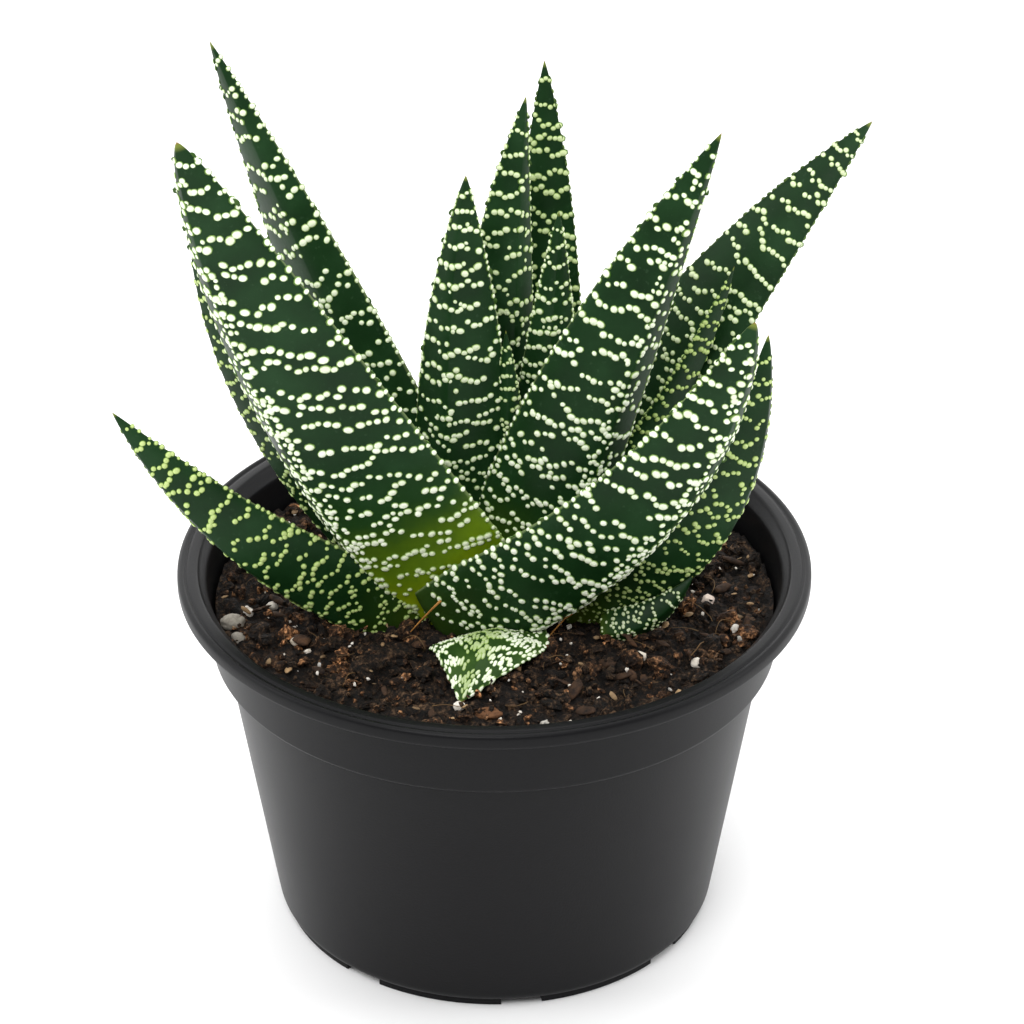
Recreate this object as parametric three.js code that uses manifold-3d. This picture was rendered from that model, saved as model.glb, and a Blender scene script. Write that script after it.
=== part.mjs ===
// A potted gasteraloe: a rosette of thick, keeled leaves in a round plastic nursery pot.
// Millimetres, +Z up. The origin is on the pot's axis, on the plane that its feet stand on.
// The front of the plant faces -Y.
import * as THREE from 'three';
import { mergeVertices } from 'three/addons/utils/BufferGeometryUtils.js';
import Module from 'manifold-3d';

const wasm = await Module();
wasm.setup();

// ---------- driving dimensions ----------

const GAP = 0.3; // clearance kept between touching pieces

// Pot
const RIM_DIAMETER = 120;
const POT_HEIGHT = 74;
const RIM_INNER_RADIUS = 56.3; // inner edge of the flat top ring
const RIM_SKIRT_HEIGHT = 2.9; // how far the rim's outer edge hangs down
const RIM_GROOVE_RADIUS = 58.4; // shallow groove between the flat ring and the rounded lip
const COLLAR_TOP_RADIUS = 55.4;
const COLLAR_BOTTOM_RADIUS = 53.7;
const COLLAR_STEP_Z = 57.6; // where the collar steps in to the wall
const WALL_TOP_RADIUS = 51.4;
const WALL_BASE_RADIUS = 42.4;
const WALL_THICKNESS = 1;
const FLOOR_Z = 1.2; // underside of the floor, lifted by the feet
const FLOOR_THICKNESS = 1.2;
const BASE_ROUNDING = 2.2;
const POT_SEGMENTS = 56;

const FOOT_COUNT = 8;
const FOOT_OUTER_RADIUS = 41.2;
const FOOT_INNER_RADIUS = 38.4;
const FOOT_ARC_DEG = 34;
const FIRST_FOOT_DEG = -122.5;

const DRAIN_HOLE_COUNT = 6;
const DRAIN_HOLE_RADIUS = 4;
const DRAIN_HOLE_PITCH_RADIUS = 27;

// Soil
const SOIL_EDGE_Z = 65.6; // height of the soil where it meets the pot
const SOIL_CROWN = 1.6; // how much higher it is heaped round the plant
const SOIL_LUMP = 0.7; // height of its unevenness
const SOIL_SEGMENTS = 32;
const SOIL_RINGS = 5;

// Stem and roots
const STEM_X = -2;
const STEM_Y = -2;
const STEM_TOP_Z = 68;
const STEM_BOTTOM_Z = 46;
const STEM_RADIUS = 6;
const ROOT_COUNT = 6;
const ROOT_LENGTH = 34;
const ROOT_RADIUS = 2.2;
const ROOT_TIP_RADIUS = 0.7;
const ROOT_DROOP_DEG = 38;
const ROOT_DROOP_SPREAD_DEG = 14;
const ROOT_SPACING_UP_STEM = 2.5;
const FIRST_ROOT_DEG = 17; // compass direction of the first root
const LOWEST_ROOT_RISE = 4; // above the stem's lower end

// Leaves: a ring of points round the section, and rings along the leaf
const POINTS_AROUND = 12; // divides by 4, so that both margins and the keel get a point
const RINGS_ALONG = 12;
const WIDEST_AT = 0.16; // share of the length, from the base, where the leaf is widest
const BASE_WIDTH = 0.72; // width at the base, as a share of the widest
const TAPER_POWER = 0.85; // under 1 keeps the leaf broad for longer
const INNER_SWELL = 0.22; // how much of the thickness lies on the inner, flatter side
const KEEL_SHARE = 0.72; // how much of the outer bulge is the keel; the rest is a round swell
const KEEL_SHARPNESS = 1.25; // 1 gives straight flanks down from the keel, more hollows them

// Each leaf's centre line runs from its base through its middle to its tip, [right, back, up]
// in millimetres. face is the compass direction and the elevation, in degrees, that the keeled
// outer face looks in. keel is where the keel runs across the face, from -1, the left margin,
// to 1. taper, where a leaf has its own, takes the place of TAPER_POWER. A leaf that comes later
// in the list makes way for those before it.
const LEAVES = [
  {
    name: 'leaf_front_right_curved', base: [-11, -12, 68], middle: [25, -20, 97.5],
    tip: [46.5, -24, 138.5], face: [-78, -12], width: 24.5, thick: 8, keel: 0.55, taper: 0.68,
  },
  {
    name: 'leaf_front_left_large', base: [-2, -7, 66], middle: [-32, -16.5, 119],
    tip: [-55.4, -20, 172.5], face: [-105, -10], width: 31, thick: 9, keel: -0.6, taper: 0.7,
  },
  {
    name: 'leaf_front_short', base: [-1, -18, 61.5], middle: [-2.3, -25.4, 69.4],
    tip: [-6.3, -38.3, 67], face: [-110, 62], width: 23.5, thick: 5.5, keel: -0.2, taper: 0.85,
  },
  {
    name: 'leaf_left_low', base: [-12, -8, 66], middle: [-43.5, -11.5, 85.5],
    tip: [-70.2, -8, 111], face: [-100, -15], width: 19, thick: 7, keel: -0.5,
  },
  {
    name: 'leaf_right_outer', base: [12, -8, 69], middle: [38, -12, 90.3],
    tip: [50, -8, 127], face: [-60, -10], width: 20.5, thick: 7, keel: 0.5, taper: 0.8,
  },
  {
    name: 'leaf_right_small', base: [20, -14.5, 68], middle: [29, -15.4, 71.4],
    tip: [37, -14, 79], face: [-70, 20], width: 7, thick: 3.5, keel: 0.2, taper: 0.8,
  },
  {
    name: 'leaf_centre_right_large', base: [3, -4, 69], middle: [18.5, -3, 115],
    tip: [41, 0, 164], face: [-100, -10], width: 23, thick: 8, keel: 0.6,
  },
  {
    name: 'leaf_centre', base: [-5, 0, 70], middle: [-5.8, 2, 114],
    tip: [-5, 4, 153.5], face: [-95, 0], width: 19, thick: 7, keel: -0.3,
  },
  {
    name: 'leaf_left_upright', base: [-11, 1, 66], middle: [-40, 4, 101],
    tip: [-56, 10, 139.5], face: [-140, -10], width: 20, thick: 7, keel: -0.4,
  },
  {
    name: 'leaf_right_large', base: [8, 6, 68], middle: [37.5, 15, 115],
    tip: [70.2, 25, 153.8], face: [55, -20], width: 23, thick: 7, keel: 0.3,
  },
  {
    name: 'leaf_right_inner', base: [8, 2, 70], middle: [30, 7, 100],
    tip: [44.5, 10, 131.5], face: [-40, -10], width: 13, thick: 5, keel: 0.3,
  },
  {
    name: 'leaf_inner_small', base: [7, 4, 71], middle: [10, 7, 108],
    tip: [12, 9, 143.5], face: [-90, 0], width: 13, thick: 5, keel: 0,
  },
  {
    name: 'leaf_centre_back', base: [0, 8, 70], middle: [0.5, 13, 117],
    tip: [6, 20, 161.5], face: [-80, 0], width: 17, thick: 6, keel: 0.4,
  },
  {
    name: 'leaf_rear', base: [5, 12, 69], middle: [9, 22, 116],
    tip: [9.5, 32, 163], face: [80, 0], width: 18, thick: 6, keel: 0.2,
  },
  {
    name: 'leaf_left_tall', base: [-6, 5, 68], middle: [-28.5, 13, 118],
    tip: [-52, 25, 170.5], face: [-125, -10], width: 25.5, thick: 8, keel: 0.35,
  },
  {
    name: 'leaf_heart_tiny', base: [1, 2, 74], middle: [2.4, 1, 99],
    tip: [2.2, 1, 123], face: [-90, 0], width: 8, thick: 4, keel: 0,
  },
];

// Stones and chips lying half sunk in the soil: where each lies, its three half sizes and turn
const TOP_DRESSING = [
  { name: 'grey_stone', at: [-49.5, -9.5], size: [2.4, 1.8, 1.6], turn: 20, colour: 0x9a9690 },
  { name: 'grey_stone_small', at: [-48, -15], size: [1.5, 1.2, 1.1], turn: 60, colour: 0x8f8c85 },
  { name: 'perlite_left', at: [-46.5, -6], size: [1, 1.1, 1], turn: 0, colour: 0xe4e1da },
  { name: 'perlite_left_inner', at: [-42, -4], size: [1.3, 1, 0.9], turn: 10, colour: 0xd8d5cc },
  { name: 'perlite_front_left', at: [-37, -16.5], size: [1.1, 1.2, 1], turn: 40, colour: 0xe8e2d2 },
  { name: 'perlite_front', at: [-6.5, -39.5], size: [1.2, 1, 0.9], turn: 15, colour: 0xe8e6e0 },
  { name: 'perlite_front_right', at: [27, -22.5], size: [1.5, 1.2, 1], turn: 70, colour: 0xe9e5da },
  { name: 'perlite_right', at: [37.5, -24.5], size: [1.1, 1.3, 1], turn: 30, colour: 0xdedad0 },
  { name: 'perlite_right_back', at: [40.5, -3.5], size: [1.3, 1.5, 1.2], turn: 0, colour: 0xd9cfc6 },
  { name: 'bark_chip_front', at: [-1, -41], size: [2.6, 1.2, 0.9], turn: 25, colour: 0x6b4226 },
  { name: 'bark_chip_right', at: [46, -14], size: [2.8, 1.4, 0.9], turn: 80, colour: 0x4a3020 },
];
const STONE_SUNK = 0.35; // share of its half height that a stone sits below the soil
const STONE_LUMP = 0.12;

// Colours
const POT_COLOUR = 0x2f2f31;
const SOIL_COLOUR = 0x2a1d14;
const STEM_COLOUR = 0x7a6a45;
const LEAF_COLOUR = 0x2c4a30;

// ---------- helpers ----------

const radians = THREE.MathUtils.degToRad;

function lerp(a, b, share) {
  return a + (b - a) * share;
}

// A closed three.js geometry as a manifold-3d solid.
function solidOf(geometry) {
  const plain = geometry.clone();
  plain.deleteAttribute('normal');
  plain.deleteAttribute('uv');
  const merged = mergeVertices(plain, 1e-4);
  return new wasm.Manifold(new wasm.Mesh({
    numProp: 3,
    vertProperties: new Float32Array(merged.attributes.position.array),
    triVerts: new Uint32Array(merged.index.array),
  }));
}

function geometryOf(solid) {
  const mesh = solid.getMesh();
  const geometry = new THREE.BufferGeometry();
  geometry.setAttribute('position', new THREE.BufferAttribute(mesh.vertProperties, 3));
  geometry.setIndex(new THREE.BufferAttribute(mesh.triVerts, 1));
  geometry.computeVertexNormals();
  return geometry;
}

// The same closed surface, moved outward by a clearance.
function grown(geometry, clearance) {
  const plain = geometry.clone();
  plain.deleteAttribute('normal');
  plain.deleteAttribute('uv');
  const merged = mergeVertices(plain, 1e-4);
  merged.computeVertexNormals();
  const { position, normal } = merged.attributes;
  for (let i = 0; i < position.count; i += 1) {
    position.setXYZ(
      i,
      position.getX(i) + normal.getX(i) * clearance,
      position.getY(i) + normal.getY(i) * clearance,
      position.getZ(i) + normal.getZ(i) * clearance,
    );
  }
  return merged;
}

// A cut can leave splinters: only the largest body is the piece.
function largestBody(solid) {
  const bodies = solid.decompose();
  bodies.sort((a, b) => b.volume() - a.volume());
  return bodies[0];
}

// ---------- leaves ----------

// Half width along the leaf, as a share of the widest, from the base at 0 to the tip at 1.
function widthShare(along, taper = TAPER_POWER) {
  if (along < WIDEST_AT) {
    return lerp(BASE_WIDTH, 1, Math.sin((along / WIDEST_AT) * Math.PI / 2));
  }
  const left = (1 - along) / (1 - WIDEST_AT);
  return Math.sin(left * Math.PI / 2) ** taper;
}

// Height of the outer face above the margins, as a share of its thickness, at a place across.
function keelShare(across, keel) {
  const fromKeel = across > keel ? (across - keel) / (1 - keel) : (keel - across) / (1 + keel);
  const swell = Math.sqrt(Math.max(0, 1 - across * across));
  return (1 - fromKeel ** KEEL_SHARPNESS) * KEEL_SHARE + swell * (1 - KEEL_SHARE);
}

function leafGeometry(leaf) {
  const base = new THREE.Vector3(...leaf.base);
  const middle = new THREE.Vector3(...leaf.middle);
  const tip = new THREE.Vector3(...leaf.tip);
  const pull = middle.clone().multiplyScalar(2).addScaledVector(base, -0.5).addScaledVector(tip, -0.5);
  const spine = new THREE.QuadraticBezierCurve3(base, pull, tip);
  const geometry = new THREE.SphereGeometry(1, POINTS_AROUND, RINGS_ALONG);
  const { position } = geometry.attributes;
  const half = POINTS_AROUND / 2;
  for (let i = 0; i < position.count; i += 1) {
    const ring = Math.floor(i / (POINTS_AROUND + 1));
    const step = i % (POINTS_AROUND + 1) % POINTS_AROUND;
    const along = ring / RINGS_ALONG;
    const centre = spine.getPoint(along);
    const tangent = spine.getTangent(along);
    const compass = radians(leaf.face[0]);
    const rise = radians(leaf.face[1]);
    const facing = new THREE.Vector3(
      Math.cos(compass) * Math.cos(rise),
      Math.sin(compass) * Math.cos(rise),
      Math.sin(rise),
    );
    const side = tangent.clone().cross(facing).normalize();
    const outward = side.clone().cross(tangent).normalize();
    const atPole = ring === 0 || ring === RINGS_ALONG;
    const share = atPole ? 0 : widthShare(along, leaf.taper);
    // Points 0 to half run over the outer face from the right margin by the keel to the left
    // one, and the rest run back over the inner face.
    const outer = step <= half;
    const turn = (outer ? step : step - half) / half;
    let across;
    if (outer) {
      const flank = turn * 2;
      across = flank < 1 ? lerp(1, leaf.keel, flank) : lerp(leaf.keel, -1, flank - 1);
    } else {
      across = lerp(-1, 1, turn);
    }
    const depth = outer
      ? leaf.thick * (1 - INNER_SWELL) * keelShare(across, leaf.keel)
      : -leaf.thick * INNER_SWELL * (1 - across * across);
    const point = centre
      .addScaledVector(side, across * share * leaf.width / 2)
      .addScaledVector(outward, depth * share);
    position.setXYZ(i, point.x, point.y, point.z);
  }
  return geometry;
}

// ---------- pot ----------

// A closed body of revolution about the upright axis, from [radius, height] points.
function turnedGeometry(profile, segments) {
  const points = profile.map(([radius, height]) => new THREE.Vector2(radius, height));
  const geometry = new THREE.LatheGeometry(points, segments);
  geometry.rotateX(Math.PI / 2);
  return geometry;
}

function potGeometry() {
  const rim = RIM_DIAMETER / 2;
  const top = POT_HEIGHT;
  const skirt = top - RIM_SKIRT_HEIGHT;
  const wall = WALL_THICKNESS;
  const profile = [
    [0, FLOOR_Z],
    [WALL_BASE_RADIUS - BASE_ROUNDING, FLOOR_Z],
    [WALL_BASE_RADIUS - BASE_ROUNDING * 0.35, FLOOR_Z + BASE_ROUNDING * 0.3],
    [WALL_BASE_RADIUS + 0.1, FLOOR_Z + BASE_ROUNDING],
    [WALL_TOP_RADIUS, COLLAR_STEP_Z - 1],
    [COLLAR_BOTTOM_RADIUS, COLLAR_STEP_Z],
    [COLLAR_TOP_RADIUS, top - wall - 0.4],
    [rim - wall, top - wall - 0.2],
    [rim - wall, skirt],
    [rim, skirt],
    [rim, top - 0.9],
    [rim - 0.35, top - 0.25],
    [rim - 0.9, top],
    [RIM_GROOVE_RADIUS + 0.15, top - 0.35],
    [RIM_GROOVE_RADIUS - 0.25, top - 0.05],
    [RIM_INNER_RADIUS, top - 0.1],
    [RIM_INNER_RADIUS - 0.4, top - 0.6],
    [COLLAR_TOP_RADIUS - wall, top - wall - 1.4],
    [COLLAR_BOTTOM_RADIUS - wall, COLLAR_STEP_Z + wall],
    [WALL_TOP_RADIUS - wall, COLLAR_STEP_Z - 0.4],
    [WALL_BASE_RADIUS - wall, FLOOR_Z + FLOOR_THICKNESS + 1.4],
    [WALL_BASE_RADIUS - wall - 1.4, FLOOR_Z + FLOOR_THICKNESS],
    [0, FLOOR_Z + FLOOR_THICKNESS],
  ];
  return turnedGeometry(profile, POT_SEGMENTS);
}

function footGeometry(startDegrees) {
  const start = radians(startDegrees);
  const end = radians(startDegrees + FOOT_ARC_DEG);
  const outline = new THREE.Shape();
  outline.absarc(0, 0, FOOT_OUTER_RADIUS, start, end, false);
  outline.absarc(0, 0, FOOT_INNER_RADIUS, end, start, true);
  outline.closePath();
  return new THREE.ExtrudeGeometry(outline, {
    depth: FLOOR_Z + FLOOR_THICKNESS / 2,
    bevelEnabled: false,
    curveSegments: 5,
  });
}

function makePot() {
  let pot = solidOf(potGeometry());
  for (let i = 0; i < FOOT_COUNT; i += 1) {
    pot = pot.add(solidOf(footGeometry(FIRST_FOOT_DEG + i * 360 / FOOT_COUNT)));
  }
  for (let i = 0; i < DRAIN_HOLE_COUNT; i += 1) {
    const angle = 2 * Math.PI * i / DRAIN_HOLE_COUNT;
    const drill = new THREE.CylinderGeometry(DRAIN_HOLE_RADIUS, DRAIN_HOLE_RADIUS, 10, 12);
    drill.rotateX(Math.PI / 2);
    drill.translate(
      Math.cos(angle) * DRAIN_HOLE_PITCH_RADIUS,
      Math.sin(angle) * DRAIN_HOLE_PITCH_RADIUS,
      FLOOR_Z,
    );
    pot = pot.subtract(solidOf(drill));
  }
  return pot;
}

// ---------- soil, stem and roots, stones ----------

// Height of the soil's top at a place: heaped at the middle, with lumps that fade at the pot.
function soilHeight(x, y) {
  const out = Math.min(1, Math.hypot(x, y) / WALL_TOP_RADIUS);
  const lumps = Math.sin(x * 0.41 + 1.3) * Math.cos(y * 0.37 - 0.6) + Math.sin(x * 0.19 - y * 0.23);
  return SOIL_EDGE_Z + SOIL_CROWN * (1 - out * out) + SOIL_LUMP * 0.5 * lumps * (1 - out ** 4);
}

function soilGeometry() {
  const floor = FLOOR_Z + FLOOR_THICKNESS + GAP;
  const clear = WALL_THICKNESS + GAP;
  const wallSlope = (WALL_TOP_RADIUS - WALL_BASE_RADIUS) / (COLLAR_STEP_Z - FLOOR_Z - BASE_ROUNDING);
  const lowerRadius = WALL_BASE_RADIUS - clear - 0.2;
  const upperRadius = WALL_TOP_RADIUS - clear - 0.2;
  const edgeRadius = lerp(
    COLLAR_BOTTOM_RADIUS,
    COLLAR_TOP_RADIUS,
    (SOIL_EDGE_Z - COLLAR_STEP_Z) / (POT_HEIGHT - COLLAR_STEP_Z),
  ) - clear - 0.1;
  const profile = [
    [0, floor],
    [lowerRadius - 1.6, floor],
    [lowerRadius + wallSlope, floor + 2.4],
    [upperRadius, COLLAR_STEP_Z - 0.1],
    [COLLAR_BOTTOM_RADIUS - clear - 0.2, COLLAR_STEP_Z + WALL_THICKNESS + 0.5],
  ];
  for (let ring = 0; ring < SOIL_RINGS; ring += 1) {
    profile.push([edgeRadius * (1 - ring / SOIL_RINGS), SOIL_EDGE_Z]);
  }
  profile.push([0, SOIL_EDGE_Z]);
  const geometry = turnedGeometry(profile, SOIL_SEGMENTS);
  const { position } = geometry.attributes;
  for (let i = 0; i < position.count; i += 1) {
    if (position.getZ(i) > SOIL_EDGE_Z - 0.01) {
      position.setZ(i, soilHeight(position.getX(i), position.getY(i)));
    }
  }
  return geometry;
}

function makeStemAndRoots() {
  const height = STEM_TOP_Z - STEM_BOTTOM_Z;
  const trunk = new THREE.CylinderGeometry(STEM_RADIUS, STEM_RADIUS * 0.75, height, 14);
  trunk.rotateX(Math.PI / 2);
  trunk.translate(STEM_X, STEM_Y, STEM_BOTTOM_Z + height / 2);
  let plant = solidOf(trunk);
  for (let i = 0; i < ROOT_COUNT; i += 1) {
    const root = new THREE.CylinderGeometry(ROOT_TIP_RADIUS, ROOT_RADIUS, ROOT_LENGTH, 8);
    root.translate(0, ROOT_LENGTH / 2, 0);
    const droop = ROOT_DROOP_DEG + ROOT_DROOP_SPREAD_DEG * Math.sin(i * 2.1);
    root.rotateZ(radians(-90 - droop));
    root.rotateX(Math.PI / 2);
    root.rotateZ(radians(FIRST_ROOT_DEG + i * 360 / ROOT_COUNT));
    const rise = LOWEST_ROOT_RISE + (i % 3) * ROOT_SPACING_UP_STEM;
    root.translate(STEM_X, STEM_Y, STEM_BOTTOM_Z + rise);
    plant = plant.add(solidOf(root));
  }
  return plant;
}

function stoneGeometry(stone) {
  const geometry = new THREE.SphereGeometry(1, 8, 6);
  const { position } = geometry.attributes;
  for (let i = 0; i < position.count; i += 1) {
    const x = position.getX(i);
    const y = position.getY(i);
    const z = position.getZ(i);
    const lump = 1 + STONE_LUMP * Math.sin(3 * x + 2 * y + stone.at[0]) * Math.cos(2 * z - y);
    position.setXYZ(i, x * lump * stone.size[0], y * lump * stone.size[1], z * lump * stone.size[2]);
  }
  geometry.rotateZ(radians(stone.turn));
  const [x, y] = stone.at;
  geometry.translate(x, y, soilHeight(x, y) + stone.size[2] * (1 - 2 * STONE_SUNK));
  return geometry;
}

// ---------- assembly ----------

const group = new THREE.Group();

function place(name, solid, colour, roughness) {
  const material = new THREE.MeshStandardMaterial({ color: colour, roughness, metalness: 0 });
  const mesh = new THREE.Mesh(geometryOf(solid), material);
  mesh.name = name;
  group.add(mesh);
}

place('pot', makePot(), POT_COLOUR, 0.45);

let taken = null; // everything that the soil and the stem make way for
const leafKeepouts = [];
for (const leaf of LEAVES) {
  const geometry = leafGeometry(leaf);
  let solid = solidOf(geometry);
  for (const keepout of leafKeepouts) {
    solid = solid.subtract(keepout);
  }
  solid = largestBody(solid);
  const keepout = solidOf(grown(geometry, GAP)).add(solidOf(geometry));
  leafKeepouts.push(keepout);
  taken = taken === null ? keepout : taken.add(keepout);
  place(leaf.name, solid, LEAF_COLOUR, 0.4);
}

for (const stone of TOP_DRESSING) {
  const geometry = stoneGeometry(stone);
  place(stone.name, solidOf(geometry), stone.colour, 0.9);
  taken = taken.add(solidOf(grown(geometry, GAP)));
}

const stemAndRoots = makeStemAndRoots();
const stem = largestBody(stemAndRoots.subtract(taken));
place('stem_and_roots', stem, STEM_COLOUR, 0.8);

const stemKeepout = solidOf(grown(geometryOf(stemAndRoots), GAP)).add(stemAndRoots);
const soil = largestBody(solidOf(soilGeometry()).subtract(taken).subtract(stemKeepout));
place('soil', soil, SOIL_COLOUR, 1);

export default group;
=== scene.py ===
"""A potted gasteraloe: beaded leaves, loose peat soil and a black plastic nursery pot."""
import math

import bmesh
import bpy
import numpy as np
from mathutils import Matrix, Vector, noise


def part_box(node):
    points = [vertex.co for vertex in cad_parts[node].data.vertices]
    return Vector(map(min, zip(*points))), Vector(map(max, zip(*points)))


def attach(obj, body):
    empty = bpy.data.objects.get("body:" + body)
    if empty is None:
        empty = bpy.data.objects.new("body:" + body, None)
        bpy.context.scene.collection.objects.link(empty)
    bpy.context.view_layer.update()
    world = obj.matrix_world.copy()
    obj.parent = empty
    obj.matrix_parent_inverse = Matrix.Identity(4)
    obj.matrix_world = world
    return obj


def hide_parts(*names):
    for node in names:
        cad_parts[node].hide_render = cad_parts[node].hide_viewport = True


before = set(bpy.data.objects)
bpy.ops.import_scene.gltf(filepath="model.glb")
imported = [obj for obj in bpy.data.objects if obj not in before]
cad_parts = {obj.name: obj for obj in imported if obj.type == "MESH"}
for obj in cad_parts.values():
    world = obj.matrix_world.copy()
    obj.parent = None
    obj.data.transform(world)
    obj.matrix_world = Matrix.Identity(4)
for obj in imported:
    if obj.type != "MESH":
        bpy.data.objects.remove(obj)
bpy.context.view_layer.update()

MM = 0.001
RNG = np.random.default_rng(7)

# ---------- leaves: the same centre lines and sections as the solids, in millimetres ----------

WIDEST_AT = 0.16
BASE_WIDTH = 0.72
INNER_SWELL = 0.22
KEEL_SHARPNESS = 1.25
KEEL_FLANK_SHARE = 0.72

# Steps for measuring a leaf's slope, as shares of its length and of its half width.
STEP_ALONG = 0.004
STEP_ACROSS = 0.02

# taper under 1 keeps a leaf broad until near its tip. white is how white the beads are, from 0,
# yellow-green, to 1. rows is the spacing of the bead rows near the tip, bead a bead's width.
# flow bends each row towards the tip where it meets the keel, and slant turns the whole row,
# both in millimetres. ridge is how closely beads crowd the keel, young how yellow the base is,
# and inner how sparse the rows of the inner face are. streak draws the beads out along the
# leaf, as many times their width, pale lightens the skin, and bare is the length of the
# smooth point.
DEFAULTS = dict(
    taper=0.85, flow=0.4, slant=0.0, ridge=0.12, young=0.15, inner=1.25, streak=0.0,
    pale=0.0, bare=3.4,
)
LEAVES = [
    dict(name="leaf_front_right_curved", base=(-11, -12, 68), middle=(25, -20, 97.5),
         tip=(46.5, -24, 138.5), face=(-78, -12), width=24.5, thick=8, keel=0.55, taper=0.68,
         white=1.0, rows=5.1, bead=1.42, flow=5.0, ridge=0.8, young=0.05),
    dict(name="leaf_front_left_large", base=(-2, -7, 66), middle=(-32, -16.5, 119),
         tip=(-55.4, -20, 172.5), face=(-105, -10), width=31, thick=9, keel=-0.6, taper=0.7,
         white=1.0, rows=5.2, bead=1.5, flow=1.0, slant=4.2, ridge=0.7, young=1.0),
    dict(name="leaf_front_short", base=(-1, -18, 61.5), middle=(-2.3, -25.4, 69.4),
         tip=(-6.3, -38.3, 67), face=(-110, 62), width=23.5, thick=5.5, keel=-0.2,
         white=1.0, rows=1.15, bead=0.86, flow=0.5, ridge=0.0, pale=0.3, streak=2.2, bare=0.5),
    dict(name="leaf_left_low", base=(-12, -8, 66), middle=(-43.5, -11.5, 85.5),
         tip=(-70.2, -8, 111), face=(-100, -15), width=19, thick=7, keel=-0.5,
         white=0.22, rows=4.0, bead=1.12),
    dict(name="leaf_right_outer", base=(12, -8, 69), middle=(38, -12, 90.3),
         tip=(50, -8, 127), face=(-60, -10), width=20.5, thick=7, keel=0.5, taper=0.8,
         white=0.25, rows=3.6, bead=1.0, young=0.3),
    dict(name="leaf_right_small", base=(20, -14.5, 68), middle=(29, -15.4, 71.4),
         tip=(37, -14, 79), face=(-70, 20), width=7, thick=3.5, keel=0.2, taper=0.8,
         white=0.7, rows=2.4, bead=0.8),
    dict(name="leaf_centre_right_large", base=(3, -4, 69), middle=(18.5, -3, 115),
         tip=(41, 0, 164), face=(-100, -10), width=23, thick=8, keel=0.6,
         white=0.95, rows=4.7, bead=1.3, ridge=0.5, young=0.25),
    dict(name="leaf_centre", base=(-5, 0, 70), middle=(-5.8, 2, 114),
         tip=(-5, 4, 153.5), face=(-95, 0), width=19, thick=7, keel=-0.3,
         white=0.8, rows=4.0, bead=1.2),
    dict(name="leaf_left_upright", base=(-11, 1, 66), middle=(-40, 4, 101),
         tip=(-56, 10, 139.5), face=(-140, -10), width=20, thick=7, keel=-0.4,
         white=0.3, rows=3.8, bead=1.0),
    dict(name="leaf_right_large", base=(8, 6, 68), middle=(37.5, 15, 115),
         tip=(70.2, 25, 153.8), face=(55, -20), width=23, thick=7, keel=0.3,
         white=0.65, rows=4.2, bead=1.08, inner=1.0),
    dict(name="leaf_right_inner", base=(8, 2, 70), middle=(30, 7, 100),
         tip=(44.5, 10, 131.5), face=(-40, -10), width=13, thick=5, keel=0.3,
         white=0.2, rows=3.8, bead=0.95, young=0.6),
    dict(name="leaf_inner_small", base=(7, 4, 71), middle=(10, 7, 108),
         tip=(12, 9, 143.5), face=(-90, 0), width=13, thick=5, keel=0.0,
         white=0.7, rows=3.5, bead=1.05),
    dict(name="leaf_centre_back", base=(0, 8, 70), middle=(0.5, 13, 117),
         tip=(6, 20, 161.5), face=(-80, 0), width=17, thick=6, keel=0.4,
         white=0.6, rows=3.8, bead=1.12),
    dict(name="leaf_rear", base=(5, 12, 69), middle=(9, 22, 116),
         tip=(9.5, 32, 163), face=(80, 0), width=18, thick=6, keel=0.2,
         white=0.4, rows=3.8, bead=1.1, inner=1.0),
    dict(name="leaf_left_tall", base=(-6, 5, 68), middle=(-28.5, 13, 118),
         tip=(-52, 25, 170.5), face=(-125, -10), width=25.5, thick=8, keel=0.35,
         white=0.85, rows=4.8, bead=1.22),
    dict(name="leaf_heart_tiny", base=(1, 2, 74), middle=(2.4, 1, 99),
         tip=(2.2, 1, 123), face=(-90, 0), width=8, thick=4, keel=0.0,
         white=0.5, rows=3.2, bead=0.9),
]
LEAVES = [{**DEFAULTS, **leaf} for leaf in LEAVES]


def unit(v):
    return v / np.maximum(np.linalg.norm(v, axis=-1, keepdims=True), 1e-9)


def width_share(t, taper):
    low = BASE_WIDTH + (1 - BASE_WIDTH) * np.sin(np.clip(t / WIDEST_AT, 0, 1) * math.pi / 2)
    left = np.clip((1 - t) / (1 - WIDEST_AT), 0, 1)
    high = np.sin(left * math.pi / 2) ** taper
    return np.where(t < WIDEST_AT, low, high)


def leaf_axes(leaf, t):
    """Centre, side and outward vectors of the leaf at the shares t of its length."""
    base, middle, tip = (np.array(leaf[k], float) for k in ("base", "middle", "tip"))
    pull = 2 * middle - (base + tip) / 2
    t = np.asarray(t, float)[..., None]
    centre = (1 - t) ** 2 * base + 2 * t * (1 - t) * pull + t ** 2 * tip
    tangent = unit(2 * (1 - t) * (pull - base) + 2 * t * (tip - pull))
    compass, rise = (math.radians(d) for d in leaf["face"])
    facing = np.array([
        math.cos(compass) * math.cos(rise), math.sin(compass) * math.cos(rise), math.sin(rise),
    ])
    side = unit(np.cross(tangent, facing))
    return centre, tangent, side, unit(np.cross(side, tangent))


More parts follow.
